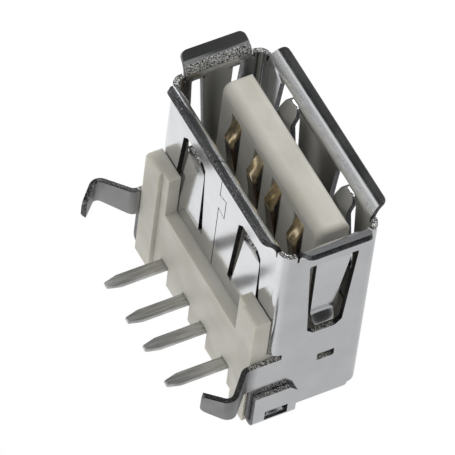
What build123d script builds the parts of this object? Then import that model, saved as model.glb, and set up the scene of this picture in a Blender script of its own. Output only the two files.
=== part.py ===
from build123d import *
from math import cos, radians, sin, tan
import os

os.makedirs("parts", exist_ok=True)

# A right-angle board socket for a flat four-way plug. Millimetres.
# +Z is up from the board, the mouth faces -Y, and X runs across the mouth.
# The origin is on the board's surface, on the mid-plane, at the row of tails.

# Folded shell
sheet = 0.30
mouth_width = 12.50
mouth_height = 5.12
bend_inside = 0.40
shell_standoff = 1.00
rim_to_tails = 11.95
floor_to_tails = 3.65
flap_to_tails = 1.65
wall_foot = 0.10
corner_notch_height = 0.70
wall_corner = 0.20

# Flared lips round the mouth
lip_angle = 62
lip_start = 0.34
lip_bend = 1.00
lip_lap = 0.05
lip_relief = 0.12
lip_relief_depth = 0.45
long_lip_root = 11.40
long_lip_tip = 11.00
long_lip_rise = 0.83
short_lip_root = 3.90
short_lip_tip = 3.70
short_lip_rise = 0.96
lip_corner = 0.38

# Seam down the middle of the board side, locked by a dovetail
seam_x = -0.20
seam_gap = 0.06
dovetail_to_rim = 2.20
dovetail_length = 1.40
dovetail_reach = 0.66
dovetail_slant = 0.18

# Springs that grip the plug: two on each broad wall, one on each side wall
spring_x = 3.12
spring_lap = 0.30
spring_corner = 0.35
spring_root_bend = 3.00
spring_crest_bend = 0.50
slot_end = 0.12
floor_spring_root = 4.70
floor_spring_tip = 9.50
roof_spring_root = 6.30
roof_spring_tip = 10.88
right_spring_root = 10.70
left_spring_root = 11.40
side_spring_tip = 5.10
right_spring_lift = 0.19
left_spring_lift = -0.06

# Each kind of spring: root and tip widths, dip, curl back, length of the curl, slot
# and gap at the tip
floor_spring_shape = (2.50, 1.55, 0.22, 0.20, 0.85, 0.42, 0.42)
roof_spring_shape = (2.30, 1.15, 0.20, 0.48, 0.85, 0.50, 1.00)
right_spring_shape = (2.06, 1.20, 0.50, 0.45, 0.62, 0.40, 0.40)
left_spring_shape = (1.80, 1.05, 0.50, 0.45, 0.62, 0.62, 0.40)

# Small windows through the side walls, over the housing
side_window_front = 2.55
side_window_length = 0.55
side_window_low = 3.90
side_window_height = 1.00

# Rear flap, with two ears folded forward over the side walls
flap_gap = 0.05
flap_neck_width = 11.60
flap_bend = 0.60
flap_notch_high = 0.90
flap_notch_x = 6.25
ear_gap = 0.03
ear_bend = 0.45
ear_low = 0.25
ear_high = 2.80
ear_front_to_tails = 0.85
ear_corner = 0.45
ear_window_low = 0.95
ear_window_high = 2.30
ear_window_front = 0.55
ear_window_rear = 1.25
catch_low = 1.15
catch_high = 2.10
catch_rear = 1.05
catch_length = 0.45
catch_out = 0.20

# Kinked legs that snap into the board
leg_front_to_tails = 3.25
leg_width = 1.90
leg_knee_width = 1.55
leg_tip_width = 1.15
leg_tip_set_back = 0.15
leg_tip_corner = 0.30
leg_straight = 0.35
leg_bulge = 1.62
leg_bulge_depth = 1.85
leg_tip_depth = 3.05
leg_tip_offset = 0.41
leg_bend = 0.50
leg_lap = 0.90

# Moulded housing
housing_gap = 0.05
base_recess = 0.25
rail_front_to_tails = 6.50
rail_rear_to_tails = 1.65
block_inner_x = 4.05
rail_inner_x = 4.70
rail_gap = 0.04
rail_round = 0.25
rail_rear_high = 0.80
tongue_width = 10.85
tongue_thickness = 1.84
tongue_to_roof = 1.00
tongue_to_rim = 0.30
tongue_round = 0.35
tongue_nose_round = 0.60

# Contacts: flat strips from the tail up, over and out along the tongue
contact_places = (-3.50, -1.00, 1.00, 3.50)
contact_thickness = 0.25
contact_width = 1.00
contact_nose_width = 0.75
contact_nose_length = 2.20
contact_bend = 0.45
contact_inset = 0.40
contact_ramp_to_tails = 5.20
contact_crest_to_rim = 2.75
contact_crest_drop = 0.72
contact_crest_bend = 0.20
contact_ramp_bend = 0.60
contact_nose_to_rim = 1.60
contact_nose_rise = 0.15
tail_width = 0.70
tail_length = 3.25
tail_point_width = 0.30
tail_point_length = 0.80
tail_neck_height = 2.40
tail_neck_slant = 0.15
tail_chamfer = 0.07
slot_gap = 0.05
slot_depth = 0.90
slot_to_rim = 1.30
slot_relief = 0.30

# Levels and lines worked out from the sizes above
inner_x = mouth_width / 2
outer_x = inner_x + sheet
wall_mid_x = inner_x + sheet / 2
floor_high = shell_standoff + sheet
floor_mid = shell_standoff + sheet / 2
roof_low = floor_high + mouth_height
roof_mid = roof_low + sheet / 2
roof_high = roof_low + sheet
mid_z = (shell_standoff + roof_high) / 2
bend_outside = bend_inside + sheet
bend_middle = bend_inside + sheet / 2
rim_y = -rim_to_tails
floor_end_y = -floor_to_tails
leg_front_y = -leg_front_to_tails
flap_mid_y = flap_to_tails - sheet / 2
flap_start_y = flap_to_tails - flap_bend
wall_end_y = flap_to_tails - sheet - flap_gap
ear_in_x = outer_x + ear_gap
ear_mid_x = ear_in_x + sheet / 2
ear_front_y = -ear_front_to_tails
base_half = inner_x - housing_gap
base_high = roof_low - housing_gap
base_front_y = floor_end_y + housing_gap
tongue_high = roof_low - tongue_to_roof
tongue_low = tongue_high - tongue_thickness
tongue_front_y = rim_y + tongue_to_rim
block_high = shell_standoff - rail_gap
contact_level = tongue_low + contact_inset
half_strip = contact_thickness / 2
beyond = 2 * (rim_to_tails + mouth_width)

# The four walls' middles at the rim, each turned so its own +Z points outwards
over_roof = Pos(0, rim_y, roof_mid)
under_floor = Pos(0, rim_y, floor_mid) * Rot(0, 180, 0)
past_right = Pos(wall_mid_x, rim_y, mid_z) * Rot(0, 90, 0)
past_left = Pos(-wall_mid_x, rim_y, mid_z) * Rot(0, -90, 0)
rearward = Rot(0, 0, 180)


def flared_lip(root, tip, rise):
    """One lip on a wall whose middle is z = 0, with the rim at y = 0."""
    turn = radians(lip_angle)
    fold_y = lip_start - lip_bend * tan(turn / 2)
    end_y = fold_y - rise / tan(turn)
    reach = rise / sin(turn)
    flat_of_lip = Plane((0, end_y, rise), x_dir=(1, 0, 0), z_dir=(0, sin(turn), cos(turn)))
    with BuildPart() as lip:
        with BuildSketch(Plane.YZ):
            with BuildLine():
                FilletPolyline(
                    (lip_start + lip_lap, 0),
                    (fold_y, 0),
                    (end_y, rise),
                    radius=lip_bend,
                )
            trace(line_width=sheet)
        extrude(amount=root / 2, both=True)
        with BuildSketch(flat_of_lip) as outline:
            with BuildLine():
                Polyline(
                    (-root / 2, beyond),
                    (-root / 2, reach),
                    (-tip / 2, 0),
                    (tip / 2, 0),
                    (root / 2, reach),
                    (root / 2, beyond),
                    close=True,
                )
            make_face()
            fillet(outline.vertices().group_by(Axis.Y)[0], lip_corner)
        extrude(amount=beyond, both=True, mode=Mode.INTERSECT)
    return lip.part


def spring(length, root, tip, dip, curl, fold, slot, end_gap):
    """A tongue rooted at y = 0 in a wall at z = 0, and the window round it.

    The tongue runs towards -Y, dips to -Z and curls back over its last stretch.
    """
    with BuildPart() as tongue:
        with BuildSketch(Plane.YZ):
            with BuildLine():
                FilletPolyline(
                    (spring_lap, 0),
                    (0, 0),
                    (fold - length, -dip),
                    (-length, curl - dip),
                    radius=(spring_root_bend, spring_crest_bend),
                )
            trace(line_width=sheet)
        extrude(amount=root, both=True)
        with BuildSketch() as outline:
            with BuildLine():
                Polyline(
                    (-root / 2, 2 * spring_lap),
                    (-root / 2, 0),
                    (-tip / 2, -length),
                    (tip / 2, -length),
                    (root / 2, 0),
                    (root / 2, 2 * spring_lap),
                    close=True,
                )
            make_face()
            fillet(outline.vertices().group_by(Axis.Y)[0], spring_corner)
        extrude(amount=beyond, both=True, mode=Mode.INTERSECT)
    with BuildPart() as window:
        with BuildSketch() as opening:
            with BuildLine():
                Polyline(
                    (-root / 2 - slot, 0),
                    (-tip / 2 - slot, -length - end_gap),
                    (tip / 2 + slot, -length - end_gap),
                    (root / 2 + slot, 0),
                    close=True,
                )
            make_face()
            fillet(opening.vertices().group_by(Axis.Y)[-1], slot_end)
            chamfer(opening.vertices().group_by(Axis.Y)[0], spring_corner)
        extrude(amount=sheet, both=True)
    return window.part, tongue.part


def board_leg():
    """The right-hand leg, hanging from a wall whose middle is x = 0."""
    knee_y = leg_front_y + leg_knee_width
    tip_y = leg_front_y + leg_tip_set_back
    with BuildPart() as leg:
        with BuildSketch(Plane.XZ):
            with BuildLine():
                FilletPolyline(
                    (0, leg_lap),
                    (0, -leg_straight),
                    (leg_bulge, -leg_bulge_depth),
                    (leg_tip_offset, -leg_tip_depth),
                    radius=leg_bend,
                )
            trace(line_width=sheet)
        extrude(amount=beyond, both=True)
        tip_z = leg.part.bounding_box().min.Z
        with BuildSketch(Plane.YZ) as outline:
            with BuildLine():
                Polyline(
                    (leg_front_y, 2 * leg_lap),
                    (leg_front_y, -leg_bulge_depth),
                    (tip_y, tip_z),
                    (tip_y + leg_tip_width, tip_z),
                    (knee_y, -leg_bulge_depth),
                    (leg_front_y + leg_width, -leg_straight),
                    (leg_front_y + leg_width, 2 * leg_lap),
                    close=True,
                )
            make_face()
            fillet(outline.vertices().group_by(Axis.Y)[0], leg_tip_corner)
        extrude(amount=beyond, both=True, mode=Mode.INTERSECT)
    return leg.part


long_lip = flared_lip(long_lip_root, long_lip_tip, long_lip_rise)
short_lip = flared_lip(short_lip_root, short_lip_tip, short_lip_rise)
right_leg = Pos(wall_mid_x, 0, 0) * board_leg()

# Springs
floor_spring = spring(floor_spring_tip - floor_spring_root, *floor_spring_shape)
roof_spring = spring(roof_spring_tip - roof_spring_root, *roof_spring_shape)
right_spring = spring(right_spring_root - side_spring_tip, *right_spring_shape)
left_spring = spring(left_spring_root - side_spring_tip, *left_spring_shape)

# Every spring with the place of its root
spring_places = []
for side in (-1, 1):
    floor_root = Pos(side * spring_x, rim_to_tails - floor_spring_root, 0)
    roof_root = Pos(side * spring_x, rim_to_tails - roof_spring_root, 0)
    spring_places.append((*floor_spring, under_floor * floor_root))
    spring_places.append((*roof_spring, over_roof * roof_root))
right_root = Pos(-right_spring_lift, rim_to_tails - right_spring_root, 0) * rearward
left_root = Pos(left_spring_lift, rim_to_tails - left_spring_root, 0) * rearward
spring_places.append((*right_spring, past_right * right_root))
spring_places.append((*left_spring, past_left * left_root))

# Shell, folded from one sheet
with BuildPart() as shell:
    # Tube from the rim to the floor's rear edge
    with BuildSketch(Plane.XZ.offset(rim_to_tails)):
        with Locations((0, mid_z)):
            RectangleRounded(2 * outer_x, roof_high - shell_standoff, bend_outside)
            RectangleRounded(mouth_width, mouth_height, bend_inside, mode=Mode.SUBTRACT)
    extrude(amount=floor_to_tails - rim_to_tails)

    # Roof and side walls over the housing, down almost to the board
    with BuildSketch(Plane.XZ.offset(floor_to_tails)):
        with BuildLine():
            FilletPolyline(
                (-wall_mid_x, wall_foot),
                (-wall_mid_x, roof_mid),
                (wall_mid_x, roof_mid),
                (wall_mid_x, wall_foot),
                radius=bend_middle,
            )
        trace(line_width=sheet)
    extrude(amount=-floor_to_tails - flap_start_y)
    for side in (-1, 1):
        low_to_bend = roof_high - bend_outside - wall_foot
        with Locations((side * wall_mid_x, wall_end_y, wall_foot)):
            Box(
                sheet,
                wall_end_y - leg_front_y,
                low_to_bend,
                align=(Align.CENTER, Align.MAX, Align.MIN),
            )
    ends = shell.edges().filter_by(Axis.X).group_by(Axis.Y)[-1]
    fillet(ends.group_by(Axis.Z)[-1], wall_corner)
    fillet(shell.edges().filter_by(Axis.X).group_by(Axis.Y)[-1].group_by(Axis.Z)[0], wall_corner)

    # Notches where the floor ends and the walls run on down
    for side in (-1, 1):
        with Locations((side * wall_mid_x, floor_end_y, shell_standoff + corner_notch_height)):
            Box(
                2 * bend_outside,
                leg_front_y - floor_end_y,
                2 * shell_standoff,
                align=(Align.CENTER, Align.MIN, Align.MAX),
                mode=Mode.SUBTRACT,
            )

    # Lips, each freed from the rim's corners by a relief cut at both ends
    for place, lip, root in (
        (over_roof, long_lip, long_lip_root),
        (under_floor, long_lip, long_lip_root),
        (past_right, short_lip, short_lip_root),
        (past_left, short_lip, short_lip_root),
    ):
        with Locations(place):
            Box(root, 2 * lip_start, 2 * sheet, mode=Mode.SUBTRACT)
        for side in (-1, 1):
            with Locations(place * Pos(side * (root + lip_relief) / 2, 0, 0)):
                Box(lip_relief, 2 * lip_relief_depth, 2 * sheet, mode=Mode.SUBTRACT)
        add(place * lip)

    # Springs
    for window, tongue, place in spring_places:
        add(place * window, mode=Mode.SUBTRACT)
        add(place * tongue)

    # Seam and dovetail, through the floor and its lip
    with BuildSketch(Plane.XY):
        dovetail_front = rim_y + dovetail_to_rim
        dovetail_rear = dovetail_front + dovetail_length
        with BuildLine():
            Polyline(
                (seam_x, rim_y - floor_high),
                (seam_x, dovetail_front + dovetail_slant),
                (seam_x + dovetail_reach, dovetail_front),
                (seam_x + dovetail_reach, dovetail_rear),
                (seam_x, dovetail_rear - dovetail_slant),
                (seam_x, floor_end_y + sheet),
            )
        trace(line_width=seam_gap)
    extrude(amount=floor_high + sheet, mode=Mode.SUBTRACT)

    # Small side windows
    with Locations((0, -side_window_front, side_window_low)):
        Box(
            beyond,
            side_window_length,
            side_window_height,
            align=(Align.CENTER, Align.MIN, Align.MIN),
            mode=Mode.SUBTRACT,
        )

    # Rear flap: the neck folds down from the roof and the ears wrap forward
    with BuildSketch(Plane.YZ):
        with BuildLine():
            FilletPolyline(
                (flap_start_y - sheet, roof_mid),
                (flap_mid_y, roof_mid),
                (flap_mid_y, ear_high - sheet),
                radius=flap_bend - sheet / 2,
            )
        trace(line_width=sheet)
    extrude(amount=flap_neck_width / 2, both=True)
    with BuildSketch(Plane.XY.offset(ear_low)):
        with BuildLine():
            FilletPolyline(
                (-ear_mid_x, ear_front_y),
                (-ear_mid_x, flap_mid_y),
                (ear_mid_x, flap_mid_y),
                (ear_mid_x, ear_front_y),
                radius=ear_bend - sheet / 2,
            )
        trace(line_width=sheet)
    extrude(amount=ear_high - ear_low)
    ear_fronts = shell.edges().filter_by(Axis.X).filter_by_position(
        Axis.Y, ear_front_y - slot_gap, ear_front_y + slot_gap
    )
    chamfer(ear_fronts.group_by(Axis.Z)[-1], ear_corner)
    with Locations((0, flap_mid_y, flap_notch_high)):
        Box(
            2 * flap_notch_x,
            2 * sheet,
            flap_notch_high,
            align=(Align.CENTER, Align.CENTER, Align.MAX),
            mode=Mode.SUBTRACT,
        )

    # Ear windows, each over a small catch pressed out of the side wall
    for side in (-1, 1):
        window_x = side * (outer_x + ear_gap / 2 + sheet)
        with Locations((window_x, ear_window_front, ear_window_low)):
            Box(
                2 * sheet,
                ear_window_rear - ear_window_front,
                ear_window_high - ear_window_low,
                align=(Align.CENTER, Align.MIN, Align.MIN),
                mode=Mode.SUBTRACT,
            )
    for side in (-1, 1):
        with BuildSketch(Plane.XY.offset(catch_low)):
            with BuildLine():
                Polyline(
                    (side * (outer_x - sheet / 2), catch_rear),
                    (side * (outer_x + catch_out), catch_rear),
                    (side * (outer_x - sheet / 2), catch_rear - catch_length),
                    close=True,
                )
            make_face()
        extrude(amount=catch_high - catch_low)

    # Legs
    add(right_leg)
    add(mirror(right_leg, about=Plane.YZ))
shell.part.label = "shell"
export_step(shell.part, "parts/shell.step")

# Housing: a base behind the mouth, a tongue out into it, and two rails on the board
with BuildPart() as housing:
    with BuildSketch(Plane.XZ.offset(-base_front_y)) as base_outline:
        with Locations((0, base_recess)):
            Rectangle(
                2 * base_half, base_high - base_recess, align=(Align.CENTER, Align.MIN)
            )
        fillet(base_outline.vertices().group_by(Axis.Y)[-1], bend_inside)
    extrude(amount=base_front_y - wall_end_y)
    top_rear = housing.edges().filter_by(Axis.X).group_by(Axis.Y)[-1].group_by(Axis.Z)[-1]
    fillet(top_rear, flap_bend - sheet - housing_gap)

    # Tongue
    with Locations((0, base_front_y + sheet, tongue_low)):
        Box(
            tongue_width,
            base_front_y + sheet - tongue_front_y,
            tongue_thickness,
            align=(Align.CENTER, Align.MAX, Align.MIN),
        )
    fillet(housing.faces().sort_by(Axis.Y)[0].edges().sort_by(Axis.Z)[0], tongue_nose_round)
    fillet(housing.faces().sort_by(Axis.Y)[0].edges().sort_by(Axis.Z)[1:], tongue_round)

    # Blocks under the floor, each with a rail that stands on the board
    block_length = rail_front_to_tails + wall_end_y
    for side in (-1, 1):
        with Locations((side * (block_inner_x + base_half) / 2, wall_end_y, base_recess)):
            Box(
                base_half - block_inner_x,
                block_length,
                block_high - base_recess,
                align=(Align.CENTER, Align.MAX, Align.MIN),
            )
        with Locations((side * (rail_inner_x + base_half) / 2, rail_rear_to_tails, 0)):
            Box(
                base_half - rail_inner_x,
                rail_front_to_tails + rail_rear_to_tails,
                rail_rear_high,
                align=(Align.CENTER, Align.MAX, Align.MIN),
            )
    rail_fronts = housing.edges().filter_by(Axis.X).filter_by_position(
        Axis.Y, -rail_front_to_tails - slot_gap, -rail_front_to_tails + slot_gap
    )
    fillet(rail_fronts.group_by(Axis.Z)[0], rail_round)

    # A slot, a passage and a groove for each contact
    passage_half = half_strip + slot_gap
    for x in contact_places:
        with BuildSketch(Plane.YZ.offset(x)):
            with BuildLine():
                Polyline(
                    (rim_y + slot_to_rim, tongue_low - sheet),
                    (rim_y + slot_to_rim, tongue_low + slot_depth),
                    (base_front_y, tongue_low + slot_depth),
                    (base_front_y, tongue_low - sheet),
                    close=True,
                )
            make_face()
            with BuildLine():
                Polyline(
                    (base_front_y - sheet, contact_level - passage_half),
                    (-passage_half - slot_relief, contact_level - passage_half),
                    (-passage_half, contact_level - passage_half - slot_relief),
                    (-passage_half, tail_neck_height - slot_gap),
                    (flap_to_tails, tail_neck_height - slot_gap),
                    (flap_to_tails, contact_level + passage_half),
                    (base_front_y - sheet, contact_level + passage_half),
                    close=True,
                )
            make_face()
        extrude(amount=contact_width / 2 + slot_gap, both=True, mode=Mode.SUBTRACT)
        with Locations((x, -passage_half, tail_neck_height)):
            Box(
                tail_width + 3 * slot_gap,
                flap_to_tails,
                tail_neck_height + sheet,
                align=(Align.CENTER, Align.MIN, Align.MAX),
                mode=Mode.SUBTRACT,
            )
housing.part.label = "housing"
export_step(housing.part, "parts/housing.step")

# One contact, lying in the plane x = 0
crest_y = rim_y + contact_crest_to_rim
crest_z = contact_level - contact_crest_drop
nose_y = rim_y + contact_nose_to_rim
with BuildPart() as contact:
    with BuildSketch(Plane.YZ):
        with BuildLine():
            FilletPolyline(
                (0, -tail_length),
                (0, contact_level),
                (-contact_ramp_to_tails, contact_level),
                (crest_y, crest_z),
                (nose_y, contact_level - contact_nose_rise),
                radius=(contact_bend, contact_ramp_bend, contact_crest_bend),
            )
        trace(line_width=contact_thickness)
    extrude(amount=contact_width / 2, both=True)
    with BuildSketch(Plane.XZ):
        with BuildLine():
            Polyline(
                (-tail_point_width / 2, -tail_length),
                (-tail_width / 2, tail_point_length - tail_length),
                (-tail_width / 2, tail_neck_height),
                (-contact_width / 2, tail_neck_height + tail_neck_slant),
                (-contact_width / 2, roof_high),
                (contact_width / 2, roof_high),
                (contact_width / 2, tail_neck_height + tail_neck_slant),
                (tail_width / 2, tail_neck_height),
                (tail_width / 2, tail_point_length - tail_length),
                (tail_point_width / 2, -tail_length),
                close=True,
            )
        make_face()
    extrude(amount=beyond, both=True, mode=Mode.INTERSECT)
    with BuildSketch(Plane.XY):
        with BuildLine():
            Polyline(
                (-contact_nose_width / 2, rim_y),
                (-contact_nose_width / 2, nose_y + contact_nose_length),
                (-contact_width / 2, -contact_ramp_to_tails),
                (-contact_width / 2, flap_to_tails),
                (contact_width / 2, flap_to_tails),
                (contact_width / 2, -contact_ramp_to_tails),
                (contact_nose_width / 2, nose_y + contact_nose_length),
                (contact_nose_width / 2, rim_y),
                close=True,
            )
        make_face()
    extrude(amount=beyond, both=True, mode=Mode.INTERSECT)
    chamfer(contact.edges().filter_by(Axis.X).group_by(Axis.Z)[0], tail_chamfer)

for number, x in enumerate(contact_places, start=1):
    placed = Pos(x, 0, 0) * contact.part
    placed.label = f"contact_{number}"
    export_step(placed, f"parts/contact_{number}.step")
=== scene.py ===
import math

import bmesh
import bpy
from mathutils import Matrix, Vector
from mathutils.bvhtree import BVHTree


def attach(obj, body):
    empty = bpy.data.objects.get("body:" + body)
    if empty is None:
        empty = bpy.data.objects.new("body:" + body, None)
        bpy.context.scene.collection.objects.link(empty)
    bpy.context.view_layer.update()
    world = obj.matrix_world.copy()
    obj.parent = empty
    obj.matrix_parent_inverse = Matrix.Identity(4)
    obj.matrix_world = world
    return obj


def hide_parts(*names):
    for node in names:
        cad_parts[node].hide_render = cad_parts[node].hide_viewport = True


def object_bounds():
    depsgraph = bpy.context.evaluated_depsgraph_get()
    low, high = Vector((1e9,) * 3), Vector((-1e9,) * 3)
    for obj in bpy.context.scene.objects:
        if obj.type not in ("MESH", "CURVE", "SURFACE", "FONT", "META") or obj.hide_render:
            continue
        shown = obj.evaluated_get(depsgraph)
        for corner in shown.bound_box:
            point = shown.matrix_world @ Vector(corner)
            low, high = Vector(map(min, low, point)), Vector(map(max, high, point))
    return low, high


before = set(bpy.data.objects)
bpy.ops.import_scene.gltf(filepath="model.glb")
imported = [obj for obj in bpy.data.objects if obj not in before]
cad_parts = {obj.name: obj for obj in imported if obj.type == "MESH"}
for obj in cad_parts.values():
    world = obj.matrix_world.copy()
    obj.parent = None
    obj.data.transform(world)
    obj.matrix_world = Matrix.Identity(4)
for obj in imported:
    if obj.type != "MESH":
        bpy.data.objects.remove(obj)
cad_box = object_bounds()

MM = 0.001

# The photograph's camera: it looks up at the board side from beyond the mouth. Its
# sensor and lens are in millimetres.
CAMERA_AIM = Vector((-0.7165, -5.6452, 2.0630)) * MM
CAMERA_DISTANCE = 400 * MM
CAMERA_AZIMUTH = math.radians(32.786)
CAMERA_ELEVATION = math.radians(-19.723)
CAMERA_ROLL = math.radians(70.241)
CAMERA_SENSOR = 36
CAMERA_LENS = 606.56
CAMERA_SEES_FROM = 10 * MM
CAMERA_SEES_TO = 10000 * MM

# How far the sharp edges of each part are rounded
SHELL_EDGE = 0.025 * MM
HOUSING_EDGE = 0.13 * MM
CONTACT_EDGE = 0.02 * MM
EDGE_SEGMENTS = 2
SHARP_ANGLE = math.radians(32)
SAME_PLANE = math.radians(0.3)
SAME_POINT = 1e-7
FLAT_FACE_WEIGHT = 90

# The shell's sheet. A face is a cut edge where the metal behind it is deeper than the
# sheet, and it is coarsely torn, with painted glints, where it also faces the front, above
# the board.
SHEET = 0.30 * MM
SHEARED_FROM = 1.6 * SHEET
FACES_FORWARD = -0.95
JUST_INSIDE = 1e-6
SHEARED_SLOT = 1
TORN_GLINT_SLOT = 2

# Painted glints, grains of near-black and near-white colour with a bump, cover the bend
# where the left lip turns away from its wall, and fewer cover the roof's lip
GLINT_BAND_FROM = -12.42 * MM
GLINT_BAND_TO = -11.98 * MM
GLINT_BAND_BELOW_X = -6.15 * MM
GLINT_BAND_ABOVE_Z = 6.50 * MM
ROOF_GLINT_SHARE = 0.18
GLINT_BAND_FADE = 0.06 * MM

# Only faces turned to the front get the painted glints. Their normal's Y is under the
# first of these where the glints are whole, and over the second where there are none.
GLINTS_FACING = -0.2
NO_GLINTS_FACING = -0.1

# The painted glints on the lip bends and the torn edges: the size of their grains, and
# how metallic they are, which below 1 lets the bright grains show white under any light
PAINTED_GLINT_GRAIN = 0.07 * MM
PAINTED_GLINT_METAL = 0.5

# The contacts are gold on the noses, painted dark brown as shade where they run into
# the tongue, and tinned from the base rearwards
GOLD_UP_TO = -9.15 * MM
PAINTED_SHADE_FROM = -8.80 * MM
PAINTED_SHADE_UP_TO = -4.6 * MM
TIN_FROM = -4.2 * MM

# The legs are dipped in tin with the tails, from just under the housing down
DIPPED_BELOW = -0.25 * MM
BRIGHT_ABOVE = 0.35 * MM

# The floor lies just under the tails
FLOOR_HALF = 250 * MM
FLOOR_DROP = 0.02 * MM

# The tent is what the metal reflects. It is white behind the object and to its left, and
# greyer to the right and at the front. Each stop is a cosine and the light there. Dark
# cards hang in it: each has a direction, the light left on it and its edge's cosine.
TENT_RADIUS = 900 * MM
TENT_BRIGHT_WAY = Vector((-0.50, 0.75, -0.43)).normalized()
TENT_SIDES = ((-0.90, 0.50), (-0.10, 0.50), (0.25, 0.60), (0.65, 0.74), (0.95, 1.0))
TENT_BACK_WAY = Vector((0, 1, 0))
TENT_FRONT = ((-0.90, 0.55), (-0.22, 0.60), (0.08, 0.95), (0.20, 1.0))
TENT_CARDS = (
    (Vector((-0.52, -0.46, -0.72)), 0.10, 0.92),
    (Vector((0.25, -0.88, 0.40)), 0.20, 0.95),
    (Vector((-0.52, -0.20, 0.83)), 0.12, 0.93),
    (Vector((-0.94, -0.02, 0.34)), 0.50, 0.96),
    (Vector((0.90, -0.24, 0.34)), 0.12, 0.955),
)
CARD_FADE = 0.04

# The lamps and the room's own light
LAMP_DISTANCE = 500 * MM
KEY_WAY = Vector((-0.35, -0.65, 0.65))
KEY_SIZE = 300 * MM
KEY_WATTS = 0.9
BOARD_SIDE_WAY = Vector((-0.30, -0.45, -0.85))
BOARD_SIDE_SIZE = 350 * MM
BOARD_SIDE_WATTS = 0.32
ROOM_LIGHT = 0.63
ROOM_COLOUR = (1.0, 0.985, 0.93, 1)


# Materials


def start_material(name):
    """A material with only its shader and output, and the piece's own coordinates."""
    material = bpy.data.materials.new(name)
    material.use_nodes = True
    tree = material.node_tree
    shader = tree.nodes["Principled BSDF"]
    place = tree.nodes.new("ShaderNodeTexCoord").outputs["Object"]
    return material, tree, shader, place


def axes_of(tree, vector):
    """The X, Y and Z of a place or a direction."""
    node = tree.nodes.new("ShaderNodeSeparateXYZ")
    tree.links.new(vector, node.inputs[0])
    return node.outputs


def noise(tree, place, grain, detail=3.0, stretch=(1, 1, 1), roughness=0.5):
    """Noise whose grain is given as a real size, longer along an axis by its stretch."""
    mapping = tree.nodes.new("ShaderNodeMapping")
    mapping.inputs["Scale"].default_value = [1 / (grain * s) for s in stretch]
    texture = tree.nodes.new("ShaderNodeTexNoise")
    texture.inputs["Scale"].default_value = 1.0
    texture.inputs["Detail"].default_value = detail
    texture.inputs["Roughness"].default_value = roughness
    tree.links.new(place, mapping.inputs["Vector"])
    tree.links.new(mapping.outputs["Vector"], texture.inputs["Vector"])
    return texture.outputs["Fac"]


def spread(tree, value, low, high, from_low=0.35, from_high=0.65):
    """A stretch of the value, by default the middle of a noise, spread over low to high."""
    node = tree.nodes.new("ShaderNodeMapRange")
    node.inputs["From Min"].default_value = from_low
    node.inputs["From Max"].default_value = from_high
    node.inputs["To Min"].default_value = low
    node.inputs["To Max"].default_value = high
    tree.links.new(value, node.inputs["Value"])
    return node.outputs["Result"]


def blend_colours(tree, factor, first, second):
    """The first colour where the factor is 0, and the second where it is 1."""
    node = tree.nodes.new("ShaderNodeMix")
    node.data_type = "RGBA"
    for socket, colour in ((node.inputs[6], first), (node.inputs[7], second)):
        if isinstance(colour, tuple):
            socket.default_value = (*colour, 1)
        else:
            tree.links.new(colour, socket)
    tree.links.new(factor, node.inputs[0])
    return node.outputs[2]


def blend_values(tree, factor, first, second):
    """The first value where the factor is 0, and the second where it is 1."""
    node = tree.nodes.new("ShaderNodeMix")
    tree.links.new(factor, node.inputs[0])
    tree.links.new(first, node.inputs[2])
    tree.links.new(second, node.inputs[3])
    return node.outputs[0]


def calculated(tree, operation, first, second):
    """One value added to another, or times another."""
    node = tree.nodes.new("ShaderNodeMath")
    node.operation = operation
    tree.links.new(first, node.inputs[0])
    tree.links.new(second, node.inputs[1])
    return node.outputs[0]


def bumps(tree, height, depth, strength=1.0, under=None):
    """A bump of a real depth, over another one where there is one."""
    node = tree.nodes.new("ShaderNodeBump")
    node.inputs["Distance"].default_value = depth
    node.inputs["Strength"].default_value = strength
    tree.links.new(height, node.inputs["Height"])
    if under is not None:
        tree.links.new(under, node.inputs["Normal"])
    return node.outputs["Normal"]


def painted_glint_band(tree, place, axes):
    """How much painted glint the nickel gets: fully in the left lip's bend, less at the roof's.
    """
    behind = spread(tree, axes["Y"], 0, 1, GLINT_BAND_FROM - GLINT_BAND_FADE, GLINT_BAND_FROM)
    before = spread(tree, axes["Y"], 1, 0, GLINT_BAND_TO, GLINT_BAND_TO + GLINT_BAND_FADE)
    band = calculated(tree, "MULTIPLY", behind, before)
    left = spread(tree, axes["X"], 1, 0, GLINT_BAND_BELOW_X - GLINT_BAND_FADE, GLINT_BAND_BELOW_X)
    above = GLINT_BAND_ABOVE_Z - GLINT_BAND_FADE
    roof = spread(tree, axes["Z"], 0, ROOF_GLINT_SHARE, above, GLINT_BAND_ABOVE_Z)
    lips = calculated(tree, "ADD", left, roof)
    facing = axes_of(tree, place.node.outputs["Normal"])
    front = spread(tree, facing["Y"], 1, 0, GLINTS_FACING, NO_GLINTS_FACING)
    return calculated(tree, "MULTIPLY", calculated(tree, "MULTIPLY", band, lips), front)


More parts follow.
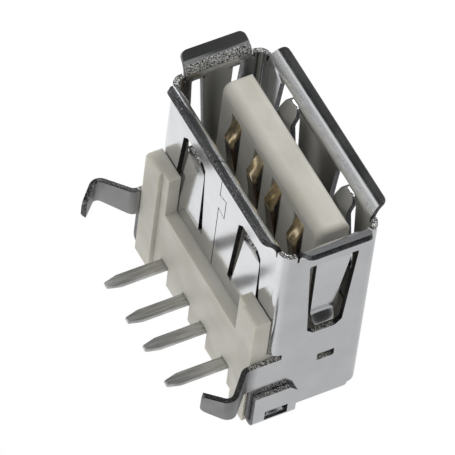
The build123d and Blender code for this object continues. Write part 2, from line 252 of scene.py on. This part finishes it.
def nickel_plate():
    """Bright nickel, near mirror with faint rolling lines; dull tinned legs; painted glints."""
    material, tree, shader, place = start_material("nickel_plate")
    axes = axes_of(tree, place)
    clouds = noise(tree, place, 2.2 * MM, detail=2.0)
    rolling = noise(tree, place, 0.05 * MM, stretch=(1, 22, 1))
    grains = noise(tree, place, 0.03 * MM, detail=2.0)
    cloud = spread(tree, clouds, 0, 1)
    plated = spread(tree, axes["Z"], 0, 1, DIPPED_BELOW, BRIGHT_ABOVE)
    nickel = blend_colours(tree, cloud, (0.66, 0.67, 0.69), (0.72, 0.725, 0.735))
    tin = blend_colours(tree, cloud, (0.30, 0.30, 0.30), (0.38, 0.38, 0.38))
    finish = blend_colours(tree, plated, tin, nickel)
    bright = blend_values(
        tree, cloud, spread(tree, rolling, 0.09, 0.16), spread(tree, grains, 0.12, 0.22)
    )
    rough = blend_values(tree, plated, spread(tree, grains, 0.38, 0.52), bright)
    tree.links.new(rough, shader.inputs["Roughness"])
    lines = bumps(tree, rolling, 0.0012 * MM, 0.5)
    skin = bumps(tree, grains, 0.0008 * MM, 0.4, lines)
    # Painted glints: near-black and near-white grains of colour on the front-facing lip bends
    glint_share = painted_glint_band(tree, place, axes)
    painted_glints = spread(tree, noise(tree, place, PAINTED_GLINT_GRAIN, detail=2.0), 0, 1, 0.40, 0.60)
    painted_glint_colour = blend_colours(tree, painted_glints, (0.05, 0.05, 0.05), (0.90, 0.90, 0.89))
    relief = calculated(tree, "MULTIPLY", glint_share, painted_glints)
    tree.links.new(blend_colours(tree, glint_share, finish, painted_glint_colour), shader.inputs["Base Color"])
    metal = spread(tree, glint_share, 1.0, PAINTED_GLINT_METAL, 0, 1)
    tree.links.new(metal, shader.inputs["Metallic"])
    tree.links.new(bumps(tree, relief, 0.035 * MM, 1.0, skin), shader.inputs["Normal"])
    return material


def sheared_steel():
    """The strip's cut edge, torn and thinly plated: painted shade, with sparse painted glints."""
    material, tree, shader, place = start_material("sheared_steel")
    tears_and_painted_glints = noise(tree, place, 0.06 * MM, detail=3.0, roughness=0.7)
    glints = noise(tree, place, 0.10 * MM, detail=2.0)
    # The near-black colour is painted shade, and the sparse grey spots are painted glints
    sparse_painted_glints = spread(tree, tears_and_painted_glints, 0, 1, 0.52, 0.70)
    colour = blend_colours(tree, sparse_painted_glints, (0.055, 0.055, 0.06), (0.50, 0.50, 0.50))
    tree.links.new(colour, shader.inputs["Base Color"])
    tree.links.new(spread(tree, glints, 0.30, 0.50), shader.inputs["Roughness"])
    coarse = bumps(tree, glints, 0.02 * MM, 0.6)
    tree.links.new(bumps(tree, tears_and_painted_glints, 0.01 * MM, 0.7, coarse), shader.inputs["Normal"])
    shader.inputs["Metallic"].default_value = 1.0
    return material


def torn_steel_painted_glints():
    """The cut edges of the rim and the ears: coarsely torn, with painted glints of grains."""
    material, tree, shader, place = start_material("torn_steel_painted_glints")
    grains = noise(tree, place, PAINTED_GLINT_GRAIN, detail=2.0)
    # Painted glints: dark and near-white grains, less metallic where they are bright
    painted_glints = spread(tree, grains, 0, 1, 0.40, 0.60)
    colour = blend_colours(tree, painted_glints, (0.12, 0.12, 0.12), (0.92, 0.92, 0.91))
    tree.links.new(colour, shader.inputs["Base Color"])
    metal = spread(tree, painted_glints, 1.0, PAINTED_GLINT_METAL, 0, 1)
    tree.links.new(metal, shader.inputs["Metallic"])
    tree.links.new(spread(tree, grains, 0.20, 0.34), shader.inputs["Roughness"])
    tree.links.new(bumps(tree, painted_glints, 0.04 * MM, 1.0), shader.inputs["Normal"])
    return material


def ivory_nylon():
    """Glass-filled nylon, warm off-white, with a fine moulded skin and slight flow marks."""
    material, tree, shader, place = start_material("ivory_nylon")
    flow = noise(tree, place, 1.8 * MM, detail=3.0, stretch=(1.6, 1, 1))
    skin = noise(tree, place, 0.05 * MM, detail=3.0)
    fibres = noise(tree, place, 0.04 * MM, detail=2.0, stretch=(1, 7, 1))
    flowed = spread(tree, flow, 0, 1)
    base = blend_colours(tree, flowed, (0.575, 0.563, 0.515), (0.670, 0.660, 0.620))
    fibre = spread(tree, fibres, 0, 0.35, 0.5, 0.8)
    colour = blend_colours(tree, fibre, base, (0.52, 0.50, 0.44))
    tree.links.new(colour, shader.inputs["Base Color"])
    tree.links.new(spread(tree, skin, 0.42, 0.60), shader.inputs["Roughness"])
    ripple = bumps(tree, flow, 0.02 * MM, 0.25)
    tree.links.new(bumps(tree, skin, 0.006 * MM, 0.45, ripple), shader.inputs["Normal"])
    shader.inputs["Subsurface Weight"].default_value = 0.5
    shader.inputs["Subsurface Radius"].default_value = (1.0, 0.9, 0.7)
    shader.inputs["Subsurface Scale"].default_value = 0.5 * MM
    return material


def plated_contact():
    """Brass strip, gold where the plug wipes it, painted shade into the tongue, tin to the tail.
    """
    material, tree, shader, place = start_material("plated_contact")
    axes = axes_of(tree, place)
    patches = noise(tree, place, 0.5 * MM, detail=3.0)
    drawn = noise(tree, place, 0.025 * MM, stretch=(1, 14, 14))
    streaks = noise(tree, place, 0.11 * MM, stretch=(1, 16, 16))
    patch = spread(tree, patches, 0, 1)
    streak = spread(tree, streaks, 0, 1)
    gold = blend_colours(tree, patch, (0.90, 0.71, 0.43), (0.95, 0.80, 0.55))
    # The dark brown is painted shade, where the contacts run into the tongue
    painted_shade_brown = blend_colours(tree, patch, (0.13, 0.09, 0.06), (0.24, 0.17, 0.11))
    tin = blend_colours(tree, streak, (0.47, 0.47, 0.46), (0.76, 0.76, 0.75))
    painted_shade_mask = spread(tree, axes["Y"], 0, 1, GOLD_UP_TO, PAINTED_SHADE_FROM)
    tinned = spread(tree, axes["Y"], 0, 1, PAINTED_SHADE_UP_TO, TIN_FROM)
    strip = blend_colours(tree, painted_shade_mask, gold, painted_shade_brown)
    tree.links.new(blend_colours(tree, tinned, strip, tin), shader.inputs["Base Color"])
    rough = blend_values(
        tree, tinned, spread(tree, drawn, 0.16, 0.28), spread(tree, patches, 0.34, 0.50)
    )
    tree.links.new(rough, shader.inputs["Roughness"])
    tree.links.new(bumps(tree, drawn, 0.0004 * MM, 0.4), shader.inputs["Normal"])
    shader.inputs["Metallic"].default_value = 1.0
    return material


# Pieces


def placed_object(mesh, name, materials):
    """The finished mesh as an object in the scene."""
    data = bpy.data.meshes.new(name)
    mesh.to_mesh(data)
    mesh.free()
    for material in materials:
        data.materials.append(material)
    placed = bpy.data.objects.new(name, data)
    bpy.context.scene.collection.objects.link(placed)
    return placed


def mark_sheared_faces(mesh):
    """Give the sheet's cut edges the sheared slot, or the torn slot with its painted glints."""
    tree = BVHTree.FromBMesh(mesh)
    for face in mesh.faces:
        inside = face.calc_center_median() - face.normal * JUST_INSIDE
        distance = tree.ray_cast(inside, -face.normal)[3]
        if distance is None or distance > SHEARED_FROM:
            forward = face.normal.y < FACES_FORWARD and face.calc_center_median().z > 0
            face.material_index = TORN_GLINT_SLOT if forward else SHEARED_SLOT


def finished_piece(node, name, edge, materials):
    """A copy of a CAD node, merged, with its sharp edges rounded, that stands for it."""
    mesh = bmesh.new()
    mesh.from_mesh(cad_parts[node].data)
    bmesh.ops.remove_doubles(mesh, verts=mesh.verts, dist=SAME_POINT)
    for face in mesh.faces:
        face.material_index = 0
    if len(materials) > 1:
        mark_sheared_faces(mesh)
    bmesh.ops.dissolve_limit(
        mesh,
        angle_limit=SAME_PLANE,
        verts=mesh.verts,
        edges=mesh.edges,
        delimit={"MATERIAL"},
    )
    corners = [e for e in mesh.edges if e.calc_face_angle(0) > SHARP_ANGLE]
    bmesh.ops.bevel(
        mesh,
        geom=corners,
        offset=edge,
        offset_type="OFFSET",
        affect="EDGES",
        segments=EDGE_SEGMENTS,
        profile=0.5,
        material=-1,
        clamp_overlap=True,
        loop_slide=True,
    )
    for face in mesh.faces:
        face.smooth = True
    piece = placed_object(mesh, name, materials)
    normals = piece.modifiers.new("flat_faces_stay_flat", "WEIGHTED_NORMAL")
    normals.mode = "FACE_AREA"
    normals.weight = FLAT_FACE_WEIGHT
    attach(piece, "root")
    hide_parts(node)


shell_finishes = [nickel_plate(), sheared_steel(), torn_steel_painted_glints()]
finished_piece("shell", "shell_folded", SHELL_EDGE, shell_finishes)
housing_finishes = [ivory_nylon()]
finished_piece("housing", "housing_moulded", HOUSING_EDGE, housing_finishes)
contact_finishes = [plated_contact()]
for number in (1, 2, 3, 4):
    node = f"contact_{number}"
    finished_piece(node, f"{node}_plated", CONTACT_EDGE, contact_finishes)


# Studio


def camera_axes():
    """The camera's right, up and backward directions."""
    flat = math.cos(CAMERA_ELEVATION)
    back = Vector(
        (
            math.sin(CAMERA_AZIMUTH) * flat,
            -math.cos(CAMERA_AZIMUTH) * flat,
            math.sin(CAMERA_ELEVATION),
        )
    )
    right = Vector((math.cos(CAMERA_AZIMUTH), math.sin(CAMERA_AZIMUTH), 0))
    turn = Matrix.Rotation(CAMERA_ROLL, 3, back)
    return turn @ right, turn @ back.cross(right), back


def add_camera():
    """The photograph's camera."""
    right, up, back = camera_axes()
    data = bpy.data.cameras.new("photo_camera")
    data.sensor_width = CAMERA_SENSOR
    data.lens = CAMERA_LENS
    data.clip_start = CAMERA_SEES_FROM
    data.clip_end = CAMERA_SEES_TO
    camera = bpy.data.objects.new("photo_camera", data)
    bpy.context.scene.collection.objects.link(camera)
    turned = Matrix((right, up, back)).transposed().to_4x4()
    camera.matrix_world = Matrix.Translation(CAMERA_AIM + back * CAMERA_DISTANCE) @ turned
    bpy.context.scene.camera = camera


def add_floor():
    """A pale floor under the tails, seen only from above."""
    material = bpy.data.materials.new("pale_floor")
    material.use_nodes = True
    tree = material.node_tree
    shader = tree.nodes["Principled BSDF"]
    shader.inputs["Base Color"].default_value = (0.86, 0.86, 0.86, 1)
    shader.inputs["Roughness"].default_value = 0.9
    clear = tree.nodes.new("ShaderNodeBsdfTransparent")
    side = tree.nodes.new("ShaderNodeNewGeometry")
    mix = tree.nodes.new("ShaderNodeMixShader")
    tree.links.new(side.outputs["Backfacing"], mix.inputs["Fac"])
    tree.links.new(shader.outputs["BSDF"], mix.inputs[1])
    tree.links.new(clear.outputs["BSDF"], mix.inputs[2])
    tree.links.new(mix.outputs["Shader"], tree.nodes["Material Output"].inputs["Surface"])
    mesh = bmesh.new()
    bmesh.ops.create_grid(mesh, x_segments=1, y_segments=1, size=FLOOR_HALF)
    bmesh.ops.translate(mesh, vec=(0, 0, cad_box[0][2] - FLOOR_DROP), verts=mesh.verts)
    floor = placed_object(mesh, "floor", [material])
    floor.visible_diffuse = False
    floor.visible_glossy = False
    floor.visible_shadow = False


def light_by_direction(tree, place, way, stops):
    """A level that follows the cosine between a place on the tent and a direction."""
    along = tree.nodes.new("ShaderNodeVectorMath")
    along.operation = "DOT_PRODUCT"
    along.inputs[1].default_value = way / TENT_RADIUS
    tree.links.new(place, along.inputs[0])
    share = tree.nodes.new("ShaderNodeMapRange")
    share.inputs["From Min"].default_value = -1.0
    tree.links.new(along.outputs["Value"], share.inputs["Value"])
    ramp = tree.nodes.new("ShaderNodeValToRGB")
    ramp.color_ramp.interpolation = "EASE"
    elements = ramp.color_ramp.elements
    while len(elements) < len(stops):
        elements.new(0.5)
    for element, (cosine, level) in zip(elements, stops):
        element.position = (cosine + 1) / 2
        element.color = (level, level, level, 1)
    tree.links.new(share.outputs["Result"], ramp.inputs["Fac"])
    return ramp.outputs["Color"]


def add_tent():
    """A round studio tent, there only for the metal to reflect."""
    material = bpy.data.materials.new("studio_tent")
    material.use_nodes = True
    tree = material.node_tree
    tree.nodes.remove(tree.nodes["Principled BSDF"])
    place = tree.nodes.new("ShaderNodeTexCoord").outputs["Object"]
    sides = light_by_direction(tree, place, TENT_BRIGHT_WAY, TENT_SIDES)
    front = light_by_direction(tree, place, TENT_BACK_WAY, TENT_FRONT)
    level = calculated(tree, "MULTIPLY", sides, front)
    for way, dimmed, edge in TENT_CARDS:
        stops = ((edge - CARD_FADE, 1.0), (edge, dimmed))
        card = light_by_direction(tree, place, way.normalized(), stops)
        level = calculated(tree, "MULTIPLY", level, card)
    glow = tree.nodes.new("ShaderNodeEmission")
    tree.links.new(level, glow.inputs["Strength"])
    tree.links.new(glow.outputs["Emission"], tree.nodes["Material Output"].inputs["Surface"])
    mesh = bmesh.new()
    bmesh.ops.create_icosphere(mesh, subdivisions=5, radius=TENT_RADIUS)
    tent = placed_object(mesh, "tent", [material])
    tent.visible_camera = False
    tent.visible_diffuse = False
    tent.visible_transmission = False
    tent.visible_shadow = False


def add_lamp(name, way, size, watts):
    """A square softbox that faces the object."""
    data = bpy.data.lights.new(name, "AREA")
    data.shape = "SQUARE"
    data.size = size
    data.energy = watts
    lamp = bpy.data.objects.new(name, data)
    lamp.location = CAMERA_AIM + way.normalized() * LAMP_DISTANCE
    lamp.rotation_euler = way.to_track_quat("Z", "Y").to_euler()
    bpy.context.scene.collection.objects.link(lamp)


def add_world():
    """White where it is seen, straight or in metal, and a plain level of room light."""
    world = bpy.data.worlds.new("studio")
    world.use_nodes = True
    tree = world.node_tree
    room = tree.nodes["Background"]
    room.inputs["Color"].default_value = ROOM_COLOUR
    room.inputs["Strength"].default_value = ROOM_LIGHT
    white = tree.nodes.new("ShaderNodeBackground")
    white.inputs["Color"].default_value = (1, 1, 1, 1)
    white.inputs["Strength"].default_value = 1.0
    path = tree.nodes.new("ShaderNodeLightPath")
    seen = path.outputs["Is Camera Ray"]
    for also in ("Is Glossy Ray", "Is Transmission Ray"):
        seen = calculated(tree, "ADD", seen, path.outputs[also])
        seen.node.use_clamp = True
    mix = tree.nodes.new("ShaderNodeMixShader")
    tree.links.new(seen, mix.inputs["Fac"])
    tree.links.new(room.outputs["Background"], mix.inputs[1])
    tree.links.new(white.outputs["Background"], mix.inputs[2])
    tree.links.new(mix.outputs["Shader"], tree.nodes["World Output"].inputs["Surface"])
    bpy.context.scene.world = world


add_camera()
add_floor()
add_tent()
add_lamp("key_softbox", KEY_WAY, KEY_SIZE, KEY_WATTS)
add_lamp("board_side_softbox", BOARD_SIDE_WAY, BOARD_SIDE_SIZE, BOARD_SIDE_WATTS)
add_world()
bpy.context.scene.view_settings.view_transform = "Standard"
